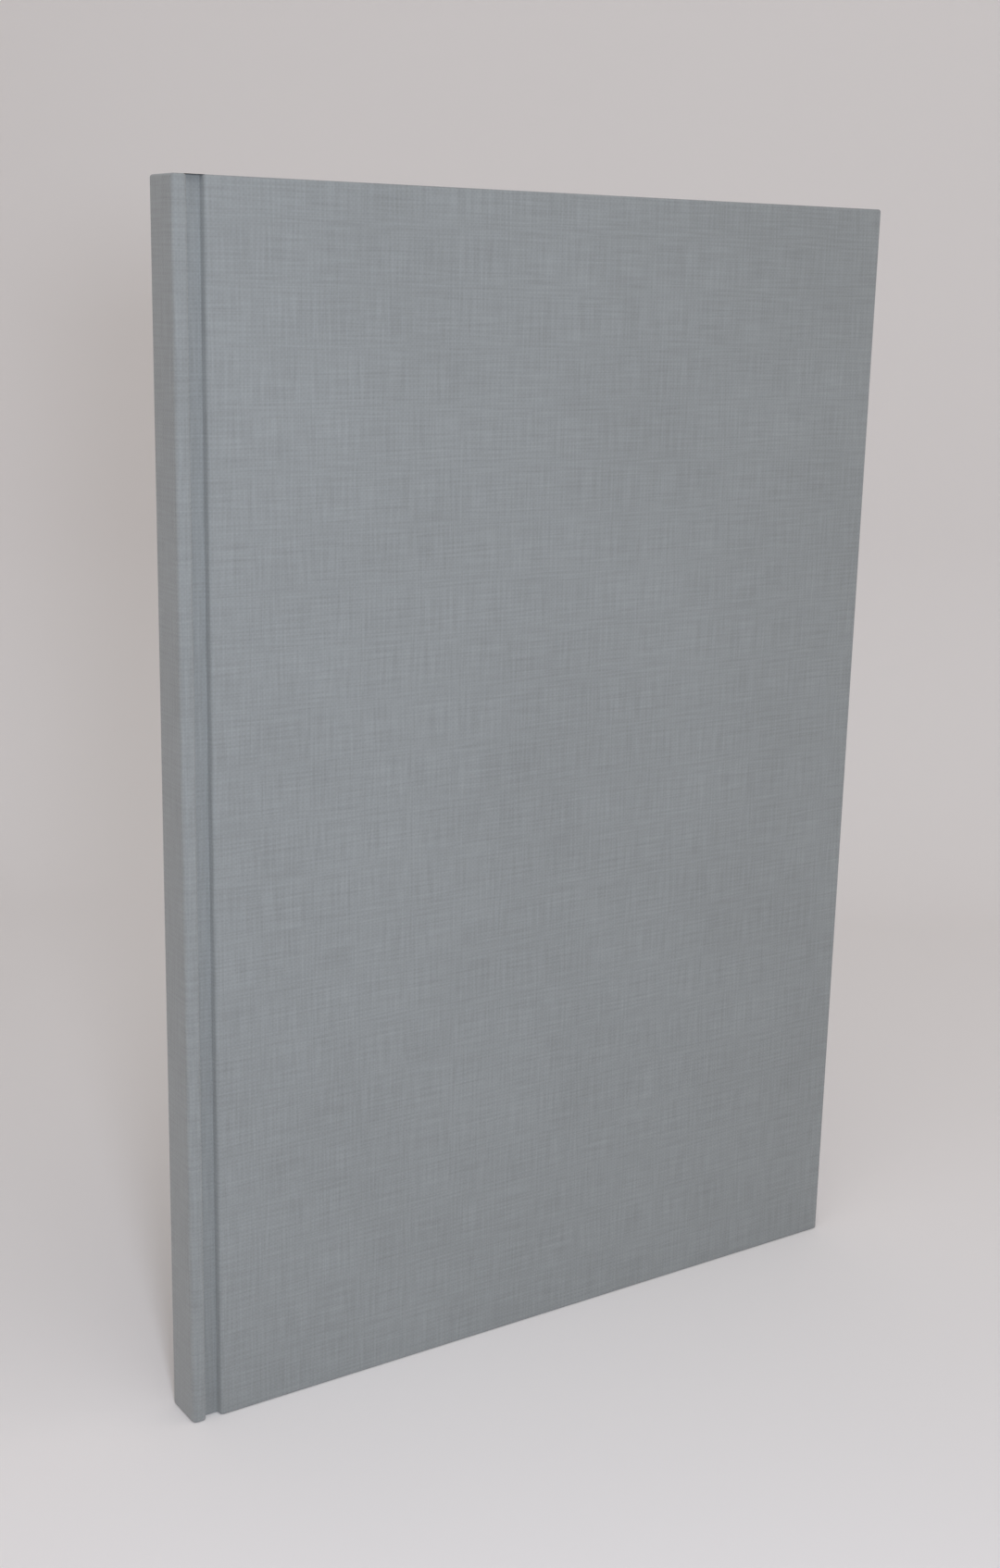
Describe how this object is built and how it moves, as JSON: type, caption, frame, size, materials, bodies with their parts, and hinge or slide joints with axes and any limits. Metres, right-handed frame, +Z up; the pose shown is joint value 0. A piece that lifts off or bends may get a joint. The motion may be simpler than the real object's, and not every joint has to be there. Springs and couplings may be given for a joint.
{
  "type": "hardback book",
  "caption": "Slim tall hardback book in plain woven book cloth, with a flat spine, grooved joints and both covers hinged.",
  "frame": {"origin": "middle of the rectangle the closed book stands on, at the tail", "axes": "+Z up from tail to head, +X from the spine to the fore edge, the front cover faces -Y"},
  "size_m": [0.21, 0.0126, 0.303],
  "materials": {
    "book_cloth": "matte plain weave, slate grey",
    "grey_board": "matte grey board",
    "page_stock": "matte uncoated, cut edges",
    "endpaper": "matte uncoated",
    "gauze": "open weave, glued",
    "kraft_lining": "matte kraft",
    "band_cotton": "ribbed, sewn"
  },
  "bodies": {
    "pages_and_spine": {"page_block": "page_stock", "front_flyleaf": "endpaper", "back_flyleaf": "endpaper", "mull": "gauze", "spine_lining": "kraft_lining", "tailband": "band_cotton", "headband": "band_cotton", "spine_board": "grey_board", "spine_cloth": "book_cloth"},
    "front_cover": {"front_board": "grey_board", "front_cloth": "book_cloth", "front_pastedown": "endpaper"},
    "back_cover": {"back_board": "grey_board", "back_cloth": "book_cloth", "back_pastedown": "endpaper"}
  },
  "joints": [
    {"name": "front_cover_hinge", "type": "hinge", "parent": "pages_and_spine", "child": "front_cover", "pos_m": [-0.1017, -0.0032, 0.1515], "axis": [0, 0, -1], "range_deg": [0, 178]},
    {"name": "back_cover_hinge", "type": "hinge", "parent": "pages_and_spine", "child": "back_cover", "pos_m": [-0.1017, 0.0032, 0.1515], "axis": [0, 0, 1], "range_deg": [0, 178]}
  ]
}
